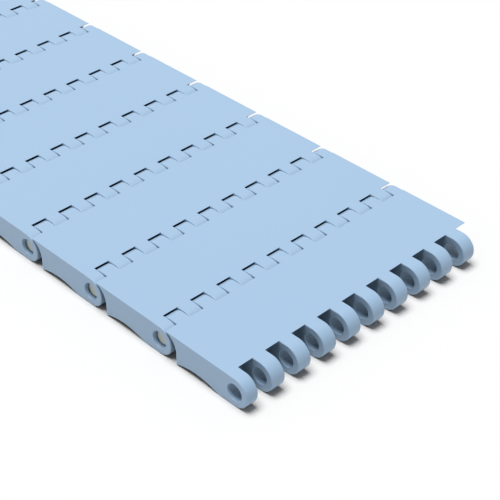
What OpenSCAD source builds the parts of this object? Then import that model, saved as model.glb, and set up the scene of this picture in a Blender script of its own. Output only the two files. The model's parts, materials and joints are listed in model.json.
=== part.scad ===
/* [Section] */
// Number of module rows in the section
rows = 11; // [2:1:14]
// Distance from one hinge axis to the next
pitch = 50; // [46:1:60]
// Height from the underside to the carrying surface
thickness = 16; // [15:0.5:18]

/* [Links] */
// Number of knuckles on each edge of a module
links = 10; // [3:1:14]
// Distance from one knuckle to the next along an edge
link_pitch = 16.67; // [15:0.01:20]
// Gap between a knuckle and each side of the notch it turns in
link_gap = 0.25; // [0.15:0.01:0.5]
// Distance by which each end of a module stops short of its nominal width
end_inset = 1.3; // [0.5:0.1:2.5]
// Radius that rounds the side edges of a knuckle
edge_r = 0.6; // [0.3:0.1:1.5]

/* [Relief round a knuckle] */
// Height of the upright lip along the edge of the top plate
lip_h = 0.2; // [0.1:0.05:1]
// Gap between the lip and the round knuckle beside it
lip_gap = 1.05; // [0.5:0.05:1.5]
// Gap between the knuckle and the upright wall, level with the hinge axis
wall_gap = 3.7; // [2:0.1:4.5]

/* [Hinge] */
// Diameter of the bore through the knuckles
bore_d = 9; // [7:0.1:10]
// Radial clearance of a rod in its bore
rod_clearance = 0.075; // [0.03:0.005:0.1]
// Chamfer on both ends of a rod
rod_chamfer = 0.8; // [0.4:0.1:1.5]
// Length of the lead-in cone at the side of the belt
lead_l = 1.2; // [1:0.1:2.5]
// Height of the wide end of the lead-in cone above the wall of the bore
lead_h = 0.1; // [0.05:0.05:0.6]
// Width of the snap bead behind the lead-in cone
bead_w = 0.6; // [0.5:0.1:1.2]
// Depth of the snap bead below the wall of the bore
bead_h = 0.2; // [0.15:0.05:0.4]
// Play between a bead and the end of its rod
rod_play = 0.3; // [0.2:0.1:1]

/* [Underside] */
// Height of the arch under the middle of a module
arch_h = 2.9; // [1:0.1:4]
// Width of the arch, which reaches under the arms of the knuckles
arch_w = 29.5; // [27:0.5:34]
// Thickness of the plate left above the coring slots
plate_t = 5; // [4:0.5:7]
// Width of a coring slot
core_w = 3.6; // [2:0.1:3.8]
// Wall left between a coring slot and the relief beside it
core_wall = 3; // [2:0.25:5]

/* [Hidden] */
$fn = 48;
// Half the thickness is both the knuckle radius and the height of the hinge axis.
knuckle_r = thickness / 2;
module_w = links * link_pitch - 2 * end_inset;
knuckle_w = link_pitch / 2 - link_gap;
wall_x = knuckle_r + wall_gap;
// The relief is an arc of the clearance radius that runs from the foot of the lip to the wall.
relief_r = knuckle_r + lip_gap;
relief_x = wall_x - relief_r;
lip_x = sqrt(pow(relief_r, 2) - pow(knuckle_r - lip_h, 2));
relief_z = knuckle_r - lip_h - sqrt(pow(relief_r, 2) - pow(lip_x - relief_x, 2));
arch_r = (pow(arch_w / 2, 2) + pow(arch_h, 2)) / (2 * arch_h);
rod_r = bore_d / 2 - rod_clearance;
rod_l = module_w - 2 * (lead_l + bead_w + rod_play);
over = 1;

function tag(n) = str(n < 10 ? "0" : "", n);
function module_name(n) = str("module_", tag(n));
function rod_name(n) = str("rod_", tag(n));

// Centre of knuckle n on the front edge; the rear edge is the same turned half round.
function knuckle_y(n) = (n - 0.75 - links / 2) * link_pitch;
// Front hinge axis of row n, with the section centred on the origin.
function hinge_x(n) = (rows / 2 + 1 - n) * pitch;

// Extrudes an upright profile, drawn as X and Z, across the belt.
module across(y0, y1) {
    translate([0, y1, 0]) rotate([90, 0, 0]) linear_extrude(y1 - y0) children();
}

// A module's half is repeated on its other edge by a half turn about its middle.
module both_edges() {
    children();
    translate([-pitch, 0, 0]) rotate([0, 0, 180]) children();
}

// The part of an upright profile that the relief round the front hinge takes away.
module relief_profile() {
    translate([-lip_x, -over]) square([lip_x + knuckle_r + over, thickness + 2 * over]);
    translate([-relief_x, knuckle_r + relief_z]) circle(relief_r);
    translate([-wall_x, -over]) square([wall_x, knuckle_r + relief_z + over]);
}

// Body between the two reliefs.
module body_profile() {
    difference() {
        translate([-pitch, 0]) square([pitch, thickness]);
        relief_profile();
        translate([-pitch, 0]) mirror([1, 0]) relief_profile();
    }
}

// Half of the section across a knuckle, from the hinge axis outwards, with its two outer corners rounded.
module knuckle_section(w) {
    square([knuckle_r - edge_r, w]);
    translate([0, edge_r]) square([knuckle_r, w - 2 * edge_r]);
    for (y = [edge_r, w - edge_r]) translate([knuckle_r - edge_r, y]) circle(edge_r);
}

// Knuckle with a half-round nose, and the arm that carries it, which ends inside the body.
module knuckle(y0, y1) {
    w = y1 - y0;
    translate([0, y0, knuckle_r]) rotate([-90, 0, 0]) rotate([0, 0, -90])
        rotate_extrude(angle = 180) knuckle_section(w);
    translate([0, y0, knuckle_r]) rotate([0, -90, 0]) linear_extrude(wall_x + edge_r) {
        knuckle_section(w);
        mirror([1, 0]) knuckle_section(w);
    }
}

// Knuckles of the front edge, with the outer one cut off at the end of the module.
module knuckle_row() {
    for (n = [1:links]) {
        y = knuckle_y(n);
        knuckle(max(y - knuckle_w / 2, -module_w / 2), y + knuckle_w / 2);
    }
}

// Bore of the front hinge. A rod is pushed in through the lead-in cone and snaps past the bead.
module bore() {
    r = bore_d / 2;
    far_end = module_w + over;
    translate([0, -module_w / 2, knuckle_r]) rotate([-90, 0, 0]) rotate_extrude()
        polygon([[0, -over], [r + lead_h, -over], [r + lead_h, 0], [r - bead_h, lead_l],
                 [r - bead_h, lead_l + bead_w - bead_h], [r, lead_l + bead_w], [r, far_end], [0, far_end]]);
}

// Coring slots between the knuckle columns, which keep the wall thickness even.
module coring() {
    x0 = core_wall + wall_x;
    length = pitch - 2 * x0;
    for (n = [1:2 * links - 1])
        translate([-x0 - length, n * link_pitch / 2 - links * link_pitch / 2 - core_w / 2, -over]) slot(length);
}

module slot(length) {
    linear_extrude(thickness - plate_t + over) {
        translate([core_w / 2, 0]) square([length - core_w, core_w]);
        translate([core_w / 2, core_w / 2]) circle(core_w / 2);
        translate([length - core_w / 2, core_w / 2]) circle(core_w / 2);
    }
}

module belt_module() {
    color([0.69, 0.80, 0.91]) difference() {
        union() {
            across(-module_w / 2, module_w / 2) body_profile();
            both_edges() knuckle_row();
        }
        across(-module_w / 2 - over, module_w / 2 + over)
            translate([-pitch / 2, arch_h - arch_r]) circle(arch_r, $fn = 180);
        both_edges() bore();
        coring();
    }
}

module hinge_rod() {
    color([0.93, 0.91, 0.82]) translate([0, -rod_l / 2, knuckle_r]) rotate([-90, 0, 0]) rotate_extrude()
        polygon([[0, 0], [rod_r - rod_chamfer, 0], [rod_r, rod_chamfer], [rod_r, rod_l - rod_chamfer],
                 [rod_r - rod_chamfer, rod_l], [0, rod_l]]);
}

for (n = [1:rows])
    translate([hinge_x(n), 0, 0]) belt_module();
for (n = [1:rows - 1])
    translate([hinge_x(n + 1), 0, 0]) hinge_rod();
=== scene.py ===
"""Dresses a straight section of modular plastic belt and stands it in a plain white studio.

The belt is a chain of equal moulded modules that hinge on plastic rods. Everything is in metres, with +X
along the belt towards its free front knuckles, +Y across it and +Z up out of the carrying surface.
"""

from __future__ import annotations

import json
import logging
import math
from dataclasses import dataclass
from enum import Enum
from typing import Any, Mapping, Sequence, Union

import bmesh
import bpy
import numpy as np
from mathutils import Euler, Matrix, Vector

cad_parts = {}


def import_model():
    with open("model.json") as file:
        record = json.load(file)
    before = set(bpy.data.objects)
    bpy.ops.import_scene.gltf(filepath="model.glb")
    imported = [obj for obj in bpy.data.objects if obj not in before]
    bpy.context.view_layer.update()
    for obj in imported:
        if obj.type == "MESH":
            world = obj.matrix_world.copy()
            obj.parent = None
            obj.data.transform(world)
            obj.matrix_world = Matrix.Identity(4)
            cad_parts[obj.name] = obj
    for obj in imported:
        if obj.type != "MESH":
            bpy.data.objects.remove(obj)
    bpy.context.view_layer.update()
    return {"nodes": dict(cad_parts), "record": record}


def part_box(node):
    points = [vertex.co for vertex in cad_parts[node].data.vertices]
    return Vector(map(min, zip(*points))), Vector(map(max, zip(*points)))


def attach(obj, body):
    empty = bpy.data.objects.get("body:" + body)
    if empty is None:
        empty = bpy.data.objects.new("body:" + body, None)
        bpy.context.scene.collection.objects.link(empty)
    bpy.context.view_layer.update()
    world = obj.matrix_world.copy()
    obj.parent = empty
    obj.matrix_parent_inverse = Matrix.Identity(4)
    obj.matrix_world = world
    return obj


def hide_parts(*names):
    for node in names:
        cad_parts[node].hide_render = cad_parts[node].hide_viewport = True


LOG = logging.getLogger("belt")
MM = 0.001
SHARP_DEGREES = 30.0
DIFFUSE_BOUNCES = 1

Colour = tuple[float, float, float]
Number = Union["Signal", float]


class Part(Enum):
    """The two kinds of part in the belt, with their node, their piece and their material slot."""

    MODULE = ("module", "moulding", "module_plastic")
    ROD = ("rod", "hinge_bar", "rod_plastic")

    def __init__(self, node: str, piece: str, slot: str) -> None:
        """Keeps the three names.

        Args:
            node: start of the CAD nodes' names.
            piece: start of the pieces' names.
            slot: the record's material slot.
        """
        self.node = node
        self.piece = piece
        self.slot = slot


def linear(red: int, green: int, blue: int) -> Colour:
    """Turns a display colour into the linear values that shaders work with.

    With c as a channel's share of 255, the value is c / 12.92 up to a c of 0.04045, and
    ((c + 0.055) / 1.055) ** 2.4 above it.

    Args:
        red: red channel, from 0 to 255.
        green: green channel.
        blue: blue channel.

    Returns:
        The three linear values, from 0 to 1.
    """
    share = np.array([red, green, blue]) / 255.0
    low, high = share / 12.92, ((share + 0.055) / 1.055) ** 2.4
    return tuple(float(v) for v in np.where(share <= 0.04045, low, high))


# ------------------------------------------------------------------------------------- shader graphs


class Signal:
    """A number that varies over a surface. Arithmetic on it adds Math nodes to its graph."""

    def __init__(self, graph: ShaderGraph, socket: bpy.types.NodeSocket) -> None:
        """Wraps one output socket.

        Args:
            graph: the graph that the socket is in.
            socket: an output that carries a number.
        """
        self.graph = graph
        self.socket = socket

    def _math(self, operation: str, first: Number, second: Number) -> Signal:
        """Adds one Math node and returns its result."""
        node = self.graph.add("ShaderNodeMath", {"operation": operation}, {0: first, 1: second})
        return Signal(self.graph, node.outputs[0])

    def __add__(self, other: Number) -> Signal:
        """self + other"""
        return self._math("ADD", self, other)

    def __radd__(self, other: float) -> Signal:
        """other + self"""
        return self._math("ADD", other, self)

    def __sub__(self, other: Number) -> Signal:
        """self - other"""
        return self._math("SUBTRACT", self, other)

    def __rsub__(self, other: float) -> Signal:
        """other - self"""
        return self._math("SUBTRACT", other, self)

    def __mul__(self, other: Number) -> Signal:
        """self * other"""
        return self._math("MULTIPLY", self, other)

    def __rmul__(self, other: float) -> Signal:
        """other * self"""
        return self._math("MULTIPLY", other, self)

    def at_least(self, lowest: Number) -> Signal:
        """The larger of self and lowest."""
        return self._math("MAXIMUM", self, lowest)


class ShaderGraph:
    """One node tree, emptied and then built up through a single method."""

    def __init__(self, tree: bpy.types.NodeTree) -> None:
        """Starts an empty graph.

        Args:
            tree: the node tree of a material or a world.
        """
        self.tree = tree
        tree.nodes.clear()

    def add(
        self,
        kind: str,
        settings: Mapping[str, Any] | None = None,
        inputs: Mapping[str | int, Any] | None = None,
    ) -> bpy.types.Node:
        """Adds a node.

        Args:
            kind: the node's type, such as ShaderNodeBump.
            settings: attributes of the node, set before its sockets.
            inputs: a value, a Signal or an output socket for each input that is set.

        Returns:
            The new node.
        """
        node = self.tree.nodes.new(kind)
        for name, value in (settings or {}).items():
            setattr(node, name, value)
        for key, value in (inputs or {}).items():
            source = value.socket if isinstance(value, Signal) else value
            if isinstance(source, bpy.types.NodeSocket):
                self.tree.links.new(source, node.inputs[key])
            elif isinstance(source, tuple):
                node.inputs[key].default_value = (*source, 1.0)[: len(node.inputs[key].default_value)]
            else:
                node.inputs[key].default_value = source
        return node

    def signal(self, node: bpy.types.Node, output: str | int = 0) -> Signal:
        """Wraps one output of a node for arithmetic."""
        return Signal(self, node.outputs[output])

    def noise(self, place: bpy.types.NodeSocket, per_metre: float, detail: float = 2.0) -> Signal:
        """Adds smooth noise, moved down by half so that it lies around zero.

        Args:
            place: the coordinates to read.
            per_metre: how many features there are to a metre.
            detail: the number of finer layers added.

        Returns:
            A signal from about -0.5 to 0.5.
        """
        inputs = {"Vector": place, "Scale": per_metre, "Detail": detail}
        return self.signal(self.add("ShaderNodeTexNoise", inputs=inputs)) - 0.5


def new_material(name: str) -> tuple[bpy.types.Material, ShaderGraph]:
    """Makes an empty material.

    Args:
        name: the material's name.

    Returns:
        The material and its graph.
    """
    material = bpy.data.materials.new(name)
    material.use_nodes = True
    return material, ShaderGraph(material.node_tree)


# ------------------------------------------------------------------------------------------ finishes


@dataclass(frozen=True)
class MouldedPlastic:
    """Satin injection-moulded plastic, with the faint grain of the spark-eroded mould on it."""

    name: str
    colour: Colour
    roughness: float = 0.42
    tint_swing: float = 0.03
    gloss_swing: float = 0.12
    flow_per_metre: float = 9.0
    patch_per_metre: float = 60.0
    grain_per_metre: float = 2600.0
    grain_height: float = 0.006 * MM
    detail: float = 3.0
    patch_share: float = 0.5

    def build(self) -> bpy.types.Material:
        """Varies the colour with wide flow marks and the gloss with patches, and raises patches and grain.

        Returns:
            The material.
        """
        material, graph = new_material(self.name)
        place = graph.add("ShaderNodeTexCoord").outputs["Object"]
        flow = graph.noise(place, self.flow_per_metre)
        patch = graph.noise(place, self.patch_per_metre, self.detail)
        grain = graph.noise(place, self.grain_per_metre, self.detail)
        tint = graph.add(
            "ShaderNodeHueSaturation",
            inputs={"Value": 1.0 + flow * self.tint_swing, "Color": self.colour},
        )
        bump = graph.add(
            "ShaderNodeBump",
            inputs={
                "Strength": 1.0,
                "Distance": self.grain_height,
                "Height": grain + patch * self.patch_share,
            },
        )
        surface = graph.add(
            "ShaderNodeBsdfPrincipled",
            inputs={
                "Base Color": tint.outputs["Color"],
                "Roughness": self.roughness + patch * self.gloss_swing,
                "Normal": bump.outputs["Normal"],
            },
        )
        graph.add("ShaderNodeOutputMaterial", inputs={"Surface": surface.outputs[0]})
        return material


@dataclass(frozen=True)
class ExtrudedRod:
    """Unpigmented extruded plastic bar, with drawing lines along it."""

    name: str
    colour: Colour
    roughness: float = 0.5
    line_per_metre: float = 2400.0
    line_stretch: float = 0.02
    line_height: float = 0.008 * MM
    gloss_swing: float = 0.1

    def build(self) -> bpy.types.Material:
        """Draws noise out along the rod into lines, which show in its surface and its gloss.

        Returns:
            The material.
        """
        material, graph = new_material(self.name)
        place = graph.add("ShaderNodeTexCoord").outputs["Object"]
        stretch = (1.0, self.line_stretch, 1.0)
        along = graph.add("ShaderNodeMapping", inputs={"Vector": place, "Scale": stretch})
        lines = graph.noise(along.outputs[0], self.line_per_metre)
        bump = graph.add(
            "ShaderNodeBump", inputs={"Strength": 1.0, "Distance": self.line_height, "Height": lines}
        )
        surface = graph.add(
            "ShaderNodeBsdfPrincipled",
            inputs={
                "Base Color": self.colour,
                "Roughness": self.roughness + lines * self.gloss_swing,
                "Normal": bump.outputs["Normal"],
            },
        )
        graph.add("ShaderNodeOutputMaterial", inputs={"Surface": surface.outputs[0]})
        return material


MODULE_BLUE = MouldedPlastic("module_blue", linear(168, 199, 229))
ROD_WHITE = ExtrudedRod("rod_white", linear(228, 231, 222))


# -------------------------------------------------------------------------------------------- studio


@dataclass(frozen=True)
class Studio:
    """White floor, even sky and one far soft lamp, high up behind the left side of the belt."""

    floor_size: float = 12.0
    floor_albedo: float = 0.75
    floor_lift: float = 0.25
    sky: float = 0.2
    lamp: float = 0.81
    lamp_towards: tuple[float, float, float] = (-0.06, -0.045, 0.5)
    lamp_spread: float = 34.0

    def build(self) -> None:
        """Makes the floor, the sky and the lamp."""
        self._floor()
        self._sky()
        self._lamp()

    @staticmethod
    def _seen_rays(graph: ShaderGraph) -> Signal:
        """Tells the rays that show the background from those that light the belt.

        Args:
            graph: the graph that the nodes are added to.

        Returns:
            1 on rays from the camera, in a reflection or through glass, and 0 on all others.
        """
        path = graph.add("ShaderNodeLightPath")
        seen = graph.signal(path, "Is Camera Ray")
        seen = seen.at_least(graph.signal(path, "Is Glossy Ray"))
        return seen.at_least(graph.signal(path, "Is Transmission Ray"))

    def _floor(self) -> None:
        """Lays the floor. It looks whiter than it lights, so that it is white where nothing shades it."""
        half = self.floor_size / 2
        corners = [(-half, -half, 0.0), (half, -half, 0.0), (half, half, 0.0), (-half, half, 0.0)]
        mesh = bpy.data.meshes.new("floor")
        mesh.from_pydata(corners, [], [(0, 1, 2, 3)])
        floor = bpy.data.objects.new("floor", mesh)
        bpy.context.scene.collection.objects.link(floor)
        material, graph = new_material("floor_white")
        white = self.floor_albedo + self._seen_rays(graph) * self.floor_lift
        surface = graph.add("ShaderNodeBsdfDiffuse", inputs={"Color": white})
        graph.add("ShaderNodeOutputMaterial", inputs={"Surface": surface.outputs[0]})
        mesh.materials.append(material)

    def _sky(self) -> None:
        """Lights the scene evenly from all round, with white where the sky itself is seen."""
        world = bpy.data.worlds.new("sky")
        world.use_nodes = True
        graph = ShaderGraph(world.node_tree)
        strength = self.sky + self._seen_rays(graph) * (1.0 - self.sky)
        light = graph.add("ShaderNodeBackground", inputs={"Color": (1.0, 1.0, 1.0), "Strength": strength})
        graph.add("ShaderNodeOutputWorld", inputs={"Surface": light.outputs[0]})
        bpy.context.scene.world = world

    def _lamp(self) -> None:
        """Hangs the lamp, so far off that it lights the whole belt evenly.

        Its strength is pi times the light that it adds to a white sheet that faces it.
        """
        light = bpy.data.lights.new("soft_lamp", "SUN")
        light.angle = math.radians(self.lamp_spread)
        light.energy = self.lamp * math.pi
        lamp = bpy.data.objects.new("soft_lamp", light)
        lamp.rotation_euler = Vector(self.lamp_towards).to_track_quat("Z", "Y").to_euler()
        bpy.context.scene.collection.objects.link(lamp)


@dataclass(frozen=True)
class Viewpoint:
    """Camera that looks along the belt from its front left corner."""

    azimuth: float = 46.006
    elevation: float = 36.476
    roll: float = -0.112
    distance: float = 0.6875
    lens: float = 101.3
    nearest: float = 0.01
    aim: tuple[float, float, float] = (0.212, -0.0115, 0.016)

    def build(self) -> None:
        """Makes the camera and gives it to the scene."""
        turn = Euler(
            (math.radians(90.0 - self.elevation), 0.0, math.radians(self.azimuth)), "XYZ"
        ).to_quaternion()
        turn = turn @ Euler((0.0, 0.0, math.radians(self.roll))).to_quaternion()
        camera = bpy.data.objects.new("camera", bpy.data.cameras.new("camera"))
        camera.data.lens = self.lens
        camera.data.clip_start = self.nearest
        camera.location = Vector(self.aim) + turn @ Vector((0.0, 0.0, self.distance))
        camera.rotation_euler = turn.to_euler()
        bpy.context.scene.collection.objects.link(camera)
        bpy.context.scene.camera = camera


# -------------------------------------------------------------------------------------------- solids


class Step(Enum):
    """How one solid is worked into another. The values are the names that the Boolean modifier gives them."""

    ADD = "UNION"
    CUT = "DIFFERENCE"


@dataclass
class Solid:
    """Closed surface: rows of points, and faces as lists of point numbers."""

    points: np.ndarray
    faces: list[Sequence[int]]

    def __add__(self, other: Solid) -> Solid:
        """Both solids side by side, in one mesh."""
        shifted = [np.asarray(face) + len(self.points) for face in other.faces]
        return Solid(np.vstack([self.points, other.points]), [*self.faces, *shifted])

    def mesh(self, name: str) -> bpy.types.Mesh:
        """Puts the surface into a new Blender mesh.

        Args:
            name: the mesh's name.

        Returns:
            The mesh.
        """
        mesh = bpy.data.meshes.new(name)
        mesh.from_pydata(self.points.tolist(), [], [[int(i) for i in face] for face in self.faces])
        mesh.update()
        return mesh


def loft(rings: np.ndarray) -> Solid:
    """Joins closed rings into a solid skin, with a flat face on the first and on the last ring.

    Point (m, n) of the grid is point n of ring m. Quads join it to the next point of its ring and to the next
    ring. If the rings run the wrong way round, so that the volume under the faces, the sum of
    a . (b x c) / 6 over their triangles, comes out negative, all faces are turned.

    Args:
        rings: points as an array of rings by points by 3.

    Returns:
        The closed solid, with its faces outwards.
    """
    count, size = rings.shape[:2]
    grid = np.arange(count * size).reshape(count, size)
    ahead = np.roll(grid, -1, axis=1)
    quads = np.stack([grid[:-1], ahead[:-1], ahead[1:], grid[1:]], axis=-1).reshape(-1, 4)
    points = rings.reshape(-1, 3)
    fan = np.stack([np.repeat(grid[0, :1], size - 2), grid[0, 2:], grid[0, 1:-1]], axis=-1)
    lid = np.stack([np.repeat(grid[-1, :1], size - 2), grid[-1, 1:-1], grid[-1, 2:]], axis=-1)
    triangles = points[np.vstack([quads[:, [0, 1, 2]], quads[:, [0, 2, 3]], fan, lid])]
    volume = np.einsum("ij,ij->", triangles[:, 0], np.cross(triangles[:, 1], triangles[:, 2]))
    faces = [*quads, grid[0][::-1], grid[-1]]
    if volume < 0.0:
        faces = [face[::-1] for face in faces]
    return Solid(points, faces)


def arc(centre: Sequence[float], radius: float, start: float, end: float, steps: int) -> np.ndarray:
    """Points round a circle: centre + radius (cos a, sin a), with a from start to end in equal steps.

    Args:
        centre: middle of the circle, as two numbers.
        radius: its radius.
        start: first angle in radians.
        end: last angle in radians.
        steps: number of steps between them.

    Returns:
        An array of steps + 1 points by 2.
    """
    angle = np.linspace(start, end, steps + 1)
    return np.asarray(centre) + radius * np.stack([np.cos(angle), np.sin(angle)], axis=-1)


def quarter(radius: float, steps: int) -> tuple[np.ndarray, np.ndarray]:
    """A quarter round between two faces: r (1 - sin t) off the one and r (1 - cos t) off the other.

    Args:
        radius: radius of the rounding.
        steps: number of steps in t, from 0 to 90 degrees.

    Returns:
        Both distances at each step. The first falls to 0, and the second rises from 0.
    """
    turn = np.linspace(0.0, math.pi / 2, steps + 1)
    return radius * (1.0 - np.sin(turn)), radius * (1.0 - np.cos(turn))


def across(outline: np.ndarray, places: Sequence[float]) -> np.ndarray:
    """Repeats an upright outline, drawn as X and Z, at several places across the belt.

    Args:
        outline: points by 2, or places by points by 2 where the outline changes.
        places: the Y of each ring.

    Returns:
        Rings for loft.
    """
    places = np.asarray(places, dtype=float)
    shape = np.broadcast_to(outline, (len(places), *outline.shape[-2:]))
    side = np.broadcast_to(places[:, None], shape.shape[:2])
    return np.stack([shape[..., 0], side, shape[..., 1]], axis=-1)


def turned_profile(radius: Sequence[float], along: Sequence[float], height: float, steps: int) -> Solid:
    """Turns a profile about an axis that lies across the belt: (r cos a, y, height + r sin a).

    Args:
        radius: the profile's radius at each of its points.
        along: the place of each point along the axis.
        height: the height of the axis.
        steps: number of steps round the circle.

    Returns:
        The turned solid.
    """
    circle = arc((0.0, 0.0), 1.0, 0.0, math.tau, steps)[:-1]
    outline = np.asarray(radius)[:, None, None] * circle + np.array([0.0, height])
    return loft(across(outline, along))


def work(target: bpy.types.Object, tool: Solid, step: Step) -> None:
    """Adds a solid to an object, or cuts it out.

    Args:
        target: the object, whose mesh is replaced.
        tool: the solid that is added or cut out.
        step: which of the two.
    """
    cutter = bpy.data.objects.new("tool", tool.mesh("tool"))
    bpy.context.scene.collection.objects.link(cutter)
    change = target.modifiers.new(step.name, "BOOLEAN")
    change.operation = step.value
    change.solver = "MANIFOLD"
    change.object = cutter
    apply_modifiers(target)
    bpy.data.objects.remove(cutter)


def apply_modifiers(target: bpy.types.Object) -> None:
    """Replaces an object's mesh by what its modifiers make of it, and takes them off.

    Args:
        target: the object.
    """
    bpy.context.view_layer.update()
    result = target.evaluated_get(bpy.context.evaluated_depsgraph_get())
    mesh = bpy.data.meshes.new_from_object(result)
    target.modifiers.clear()
    target.data = mesh


def shade(target: bpy.types.Object) -> None:
    """Shades an object smooth between its sharp edges, with flat faces kept flat.

    Args:
        target: the object.
    """
    target.data.shade_smooth()
    target.data.set_sharp_from_angle(angle=math.radians(SHARP_DEGREES))
    even = target.modifiers.new("flat_faces", "WEIGHTED_NORMAL")
    even.keep_sharp = True
    apply_modifiers(target)


def tidy_faces(mesh: bpy.types.Mesh, angle: float, reach: float = 1e-6) -> None:
    """Merges points that lie together, and joins faces that lie in one plane.

    Args:
        mesh: the mesh, which is changed.
        angle: faces that meet at less than this angle, in radians, are joined.
        reach: points nearer to each other than this are merged.
    """
    work_mesh = bmesh.new()
    work_mesh.from_mesh(mesh)
    bmesh.ops.remove_doubles(work_mesh, verts=work_mesh.verts, dist=reach)
    bmesh.ops.dissolve_limit(
        work_mesh, angle_limit=angle, verts=work_mesh.verts, edges=work_mesh.edges, delimit=set()
    )
    work_mesh.to_mesh(mesh)
    work_mesh.free()


# ---------------------------------------------------------------------------------------------- belt


@dataclass(frozen=True)
class BeltModule:
    """One moulded row of the belt. Its front hinge axis is the Y axis, raised by half its thickness.

    The front knuckles stand on a grid of equal spacings, which is centred on the row. first_middle is the
    place of the first one's middle, in spacings from the edge of that grid.
    """

    pitch: float
    thickness: float
    width: float
    bore_r: float
    finish: MouldedPlastic
    links: int = 10
    first_middle: float = 0.25
    link_pitch: float = 16.67 * MM
    link_gap: float = 0.25 * MM
    edge_r: float = 0.6 * MM
    lip_h: float = 0.2 * MM
    lip_gap: float = 1.05 * MM
    wall_gap: float = 3.7 * MM
    lead_l: float = 1.2 * MM
    lead_h: float = 0.1 * MM
    bead_w: float = 0.6 * MM
    bead_h: float = 0.2 * MM
    arch_h: float = 2.9 * MM
    arch_w: float = 29.5 * MM
    arch_overrun: float = 1.1
    plate_t: float = 5.0 * MM
    core_w: float = 3.6 * MM
    core_wall: float = 3.0 * MM
    core_floor_r: float = 0.8 * MM
    soft_edge: float = 0.15 * MM
    over: float = 1.0 * MM
    flat_degrees: float = 0.4
    soft_steps: int = 4
    edge_steps: int = 6
    nose_steps: int = 40
    relief_steps: int = 20
    arch_steps: int = 48
    bore_steps: int = 56
    slot_steps: int = 12
    core_floor_steps: int = 5

    @property
    def radius(self) -> float:
        """Radius of a knuckle's nose, and the height of the hinge axis."""
        return self.thickness / 2

    @property
    def wall_x(self) -> float:
        """Distance from the hinge axis back to the upright wall."""
        return self.radius + self.wall_gap

    @property
    def knuckle_w(self) -> float:
        """Width of a knuckle along the hinge axis."""
        return self.link_pitch / 2 - self.link_gap

    def knuckle_sides(self) -> np.ndarray:
        """Places the side faces of the front knuckles. The outer one ends with the module.

        Returns:
            The Y of both side faces of each knuckle, as links by 2.
        """
        middle = (np.arange(self.links) + self.first_middle - self.links / 2) * self.link_pitch
        sides = middle[:, None] + np.array([-0.5, 0.5]) * self.knuckle_w
        return np.maximum(sides, -self.width / 2)

    def relief(self) -> np.ndarray:
        """Front face of the body, from the edge of the top plate down to the foot of the wall.

        The lip has a small round on top and drops straight down. An arc of the knuckle's radius and its gap
        then runs back under the plate to the wall, where it is upright.

        Returns:
            Points by 2, as X and Z.
        """
        reach = self.radius + self.lip_gap
        rise = self.radius - self.lip_h
        lip_x = math.sqrt(reach**2 - rise**2)
        centre_x = self.wall_x - reach
        drop = math.sqrt(reach**2 - (lip_x - centre_x) ** 2)
        centre = (-centre_x, self.thickness - self.lip_h - drop)
        start = math.atan2(drop, centre_x - lip_x)
        relief = arc(centre, reach, start, math.pi, self.relief_steps)
        corner = self.lip_h / 2
        lip = arc((-lip_x - corner, self.thickness - corner), corner, math.pi / 2, 0.0, self.soft_steps)
        return np.vstack([lip, relief, [-self.wall_x, 0.0]])

    def both_edges(self, solid: Solid) -> Solid:
        """A solid at the front edge, and its copy at the rear edge after half a turn about the middle."""
        turned = solid.points * np.array([-1.0, -1.0, 1.0]) - np.array([self.pitch, 0.0, 0.0])
        return solid + Solid(turned, solid.faces)

    def body(self) -> Solid:
        """Plate between the two reliefs: its profile is carried across the belt, lower where its sides round.

        Returns:
            The plate, from one side of the belt to the other.
        """
        front = self.relief()
        rear = front[::-1] * np.array([-1.0, 1.0]) - np.array([self.pitch, 0.0])
        drop, inset = quarter(self.soft_edge, self.soft_steps)
        drop = np.concatenate([drop, drop[::-1]])
        place = np.concatenate([inset - self.width / 2, self.width / 2 - inset[::-1]])
        outline = np.tile(np.vstack([front, rear]), (len(place), 1, 1))
        outline[..., 1] = np.minimum(outline[..., 1], self.thickness - drop[:, None])
        return loft(across(outline, place))

    def knuckle(self, low: float, high: float) -> Solid:
        """Arm with a half-round nose, whose side edges are rounded.

        Each ring is the side view of the knuckle, less what the rounding takes off its radius at that place.

        Args:
            low: Y of one side face.
            high: Y of the other.

        Returns:
            The knuckle and its arm, which ends inside the body.
        """
        drop, inset = quarter(self.edge_r, self.edge_steps)
        half = self.radius - np.concatenate([drop, drop[::-1]])
        place = np.concatenate([low + inset, high - inset[::-1]])
        nose = arc((0.0, 0.0), 1.0, -math.pi / 2, math.pi / 2, self.nose_steps)
        outline = np.vstack([[0.0, -1.0], nose, [0.0, 1.0]])
        rings = half[:, None, None] * outline
        rings[:, [0, -1], 0] = -(self.wall_x + self.edge_r)
        return loft(across(rings + np.array([0.0, self.radius]), place))

    def knuckles(self) -> Solid:
        """All knuckles of both edges."""
        row = [self.knuckle(low, high) for low, high in self.knuckle_sides()]
        return self.both_edges(sum(row[1:], row[0]))

    def arch(self) -> Solid:
        """Round cut along the underside, through the body and the roots of the arms.

        The arc through both feet and the top of the arch has a radius of ((w / 2) squared + h squared) / 2h.
        It runs on a little past the feet, below the underside.

        Returns:
            The solid that is cut out.
        """
        reach = ((self.arch_w / 2) ** 2 + self.arch_h**2) / (2 * self.arch_h)
        spread = math.asin(self.arch_w / 2 / reach) * self.arch_overrun
        centre = (-self.pitch / 2, self.arch_h - reach)
        up = math.pi / 2
        outline = arc(centre, reach, up - spread, up + spread, self.arch_steps)
        end = self.width / 2 + self.over
        return loft(across(outline, [-end, end]))

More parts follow.
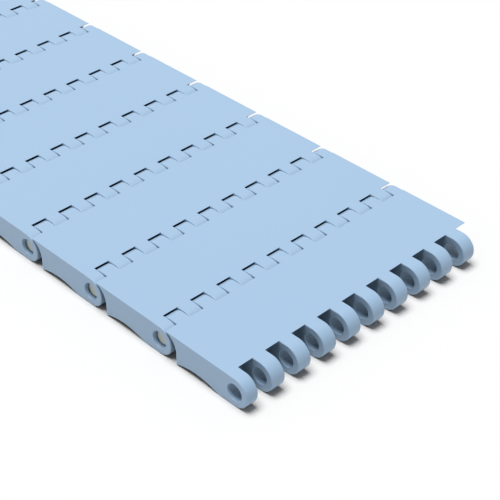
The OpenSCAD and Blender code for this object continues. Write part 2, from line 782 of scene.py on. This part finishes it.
    def bores(self) -> Solid:
        """Hinge bores of both edges, with a soft mouth in each side face of each knuckle.

        At the side of the module, a lead-in cone and a snap bead follow the mouth. They hold the rod in.

        Returns:
            The two turned solids that are cut out.
        """
        drop, inset = quarter(self.soft_edge, self.soft_steps)
        sides = self.knuckle_sides()
        along = np.hstack([sides[:, :1] + inset, sides[:, 1:] - inset[::-1]]).ravel()
        radius = np.tile(self.bore_r + np.concatenate([drop, drop[::-1]]), self.links)
        radius[: len(drop)] += self.lead_h
        behind = self.lead_l + self.bead_w
        catch = np.array([self.lead_l, behind - self.bead_h, behind]) - self.width / 2
        bead = self.bore_r - self.bead_h
        along = np.insert(along, len(drop), catch)
        radius = np.insert(radius, len(drop), [bead, bead, self.bore_r])
        along = np.concatenate([along[:1] - self.over, along, along[-1:] + self.over])
        radius = np.concatenate([radius[:1], radius, radius[-1:]])
        return self.both_edges(turned_profile(radius, along, self.radius, self.bore_steps))

    def coring(self) -> Solid:
        """Slots in the underside, one between each two columns of knuckles.

        A slot is a stadium, which shrinks towards its floor as the rounding there takes it in.

        Returns:
            The slots, which are cut out.
        """
        end = self.core_w / 2
        inner = self.pitch / 2 - self.wall_x - self.core_wall - end
        drop, inset = quarter(self.core_floor_r, self.core_floor_steps)
        height = np.concatenate([[-self.over], self.thickness - self.plate_t - drop])
        size = end - np.concatenate([[0.0], inset])
        cap = arc((0.0, 0.0), 1.0, -math.pi / 2, math.pi / 2, self.slot_steps)
        outline = np.vstack([cap, -cap]) * size[:, None, None]
        outline[..., 0] += np.repeat([inner, -inner], len(cap)) - self.pitch / 2
        heights = np.broadcast_to(height[:, None, None], (*outline.shape[:2], 1))
        rings = np.concatenate([outline, heights], axis=-1)
        middles = (np.arange(1, 2 * self.links) - self.links) * self.link_pitch / 2
        slots = [loft(rings + np.array([0.0, middle, 0.0])) for middle in middles]
        return sum(slots[1:], slots[0])

    def mould(self) -> bpy.types.Mesh:
        """Joins the plate and the knuckles, and cuts the arch, the bores and the slots out of them.

        Returns:
            A mesh whose front hinge axis is at X = 0.
        """
        master = bpy.data.objects.new("master", self.body().mesh("moulding"))
        bpy.context.scene.collection.objects.link(master)
        work(master, self.knuckles(), Step.ADD)
        work(master, self.arch(), Step.CUT)
        work(master, self.bores() + self.coring(), Step.CUT)
        tidy_faces(master.data, math.radians(self.flat_degrees))
        shade(master)
        mesh = master.data
        bpy.data.objects.remove(master)
        mesh.materials.clear()
        mesh.materials.append(self.finish.build())
        return mesh


@dataclass(frozen=True)
class HingeRod:
    """Plain bar that joins two rows. Its axis is the Y axis, raised to the height of the hinges."""

    radius: float
    length: float
    height: float
    finish: ExtrudedRod
    chamfer: float = 0.8 * MM
    nose_r: float = 0.25 * MM
    nose_steps: int = 4
    round_steps: int = 64

    def shape(self) -> bpy.types.Mesh:
        """Turns the rod's profile, with a chamfer at both ends that runs into the end face in a small arc.

        Returns:
            A mesh centred on X = 0.
        """
        flat = self.radius - self.chamfer
        drop, inset = quarter(self.nose_r, self.nose_steps)
        radius = np.concatenate([flat - drop, [self.radius]])
        depth = np.concatenate([inset, [self.chamfer]])
        end = self.length / 2
        along = np.concatenate([depth - end, (end - depth)[::-1]])
        radius = np.concatenate([radius, radius[::-1]])
        rod = turned_profile(radius, along, self.height, self.round_steps)
        mesh = rod.mesh("rod")
        mesh.shade_smooth()
        mesh.set_sharp_from_angle(angle=math.radians(SHARP_DEGREES))
        mesh.materials.append(self.finish.build())
        return mesh


@dataclass(frozen=True)
class Belt:
    """The whole section: every row's moulding, and the rod behind each but the last."""

    module: BeltModule
    rod: HingeRod

    @classmethod
    def from_frame(cls, record: Mapping[str, Any]) -> Belt:
        """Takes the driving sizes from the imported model.

        A module is as long as its pitch and its thickness together, since half its thickness is the radius
        of the noses at both its edges.

        Args:
            record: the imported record, whose first mount is the front hinge bore.

        Returns:
            The belt, ready to build.
        """
        low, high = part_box("module_01")
        size = high - low
        bore_r = record["mounts"][0]["dims"]["r_mm"] * MM
        module = BeltModule(size.x - size.z, size.z, size.y, bore_r, MODULE_BLUE)
        low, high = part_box("rod_01")
        rod_size = high - low
        rod = HingeRod(rod_size.z / 2, rod_size.y, size.z / 2, ROD_WHITE)
        return cls(module, rod)

    def build(self, nodes: Sequence[str]) -> None:
        """Makes one mesh of each kind, and puts a copy of it in the place of each CAD node.

        Args:
            nodes: names of the CAD nodes.
        """
        moulding, bar = self.module.mould(), self.rod.shape()
        for node in sorted(nodes):
            low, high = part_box(node)
            row = node.split("_")[1]
            if node.startswith(Part.MODULE.node):
                self._place(moulding, high.x - self.module.radius, Part.MODULE, row)
            else:
                self._place(bar, (low.x + high.x) / 2, Part.ROD, row)

    @staticmethod
    def _place(master: bpy.types.Mesh, x: float, part: Part, row: str) -> None:
        """Copies a mesh to its hinge and lets it ride on its row.

        Args:
            master: the mesh at X = 0.
            x: place of its hinge along the belt.
            part: what it is.
            row: number of its row, as two figures.
        """
        mesh = master.copy()
        points = np.empty(len(mesh.vertices) * 3, dtype=np.float32)
        mesh.vertices.foreach_get("co", points)
        points[0::3] += x
        mesh.vertices.foreach_set("co", points)
        mesh.update()
        piece = bpy.data.objects.new(f"{part.piece}_{row}", mesh)
        bpy.context.scene.collection.objects.link(piece)
        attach(piece, f"row_{row}")
        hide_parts(f"{part.node}_{row}")
        LOG.info("%s: %d faces, hinge at x = %.0f mm", piece.name, len(mesh.polygons), x / MM)


def main() -> None:
    """Builds the studio and the belt."""
    logging.basicConfig(level=logging.INFO, format="%(name)s: %(message)s")
    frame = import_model()
    bpy.context.scene.view_settings.view_transform = "Standard"
    bpy.context.scene.cycles.diffuse_bounces = DIFFUSE_BOUNCES
    Viewpoint().build()
    Studio().build()
    Belt.from_frame(frame["record"]).build(list(frame["nodes"]))


if __name__ == "__main__":
    main()
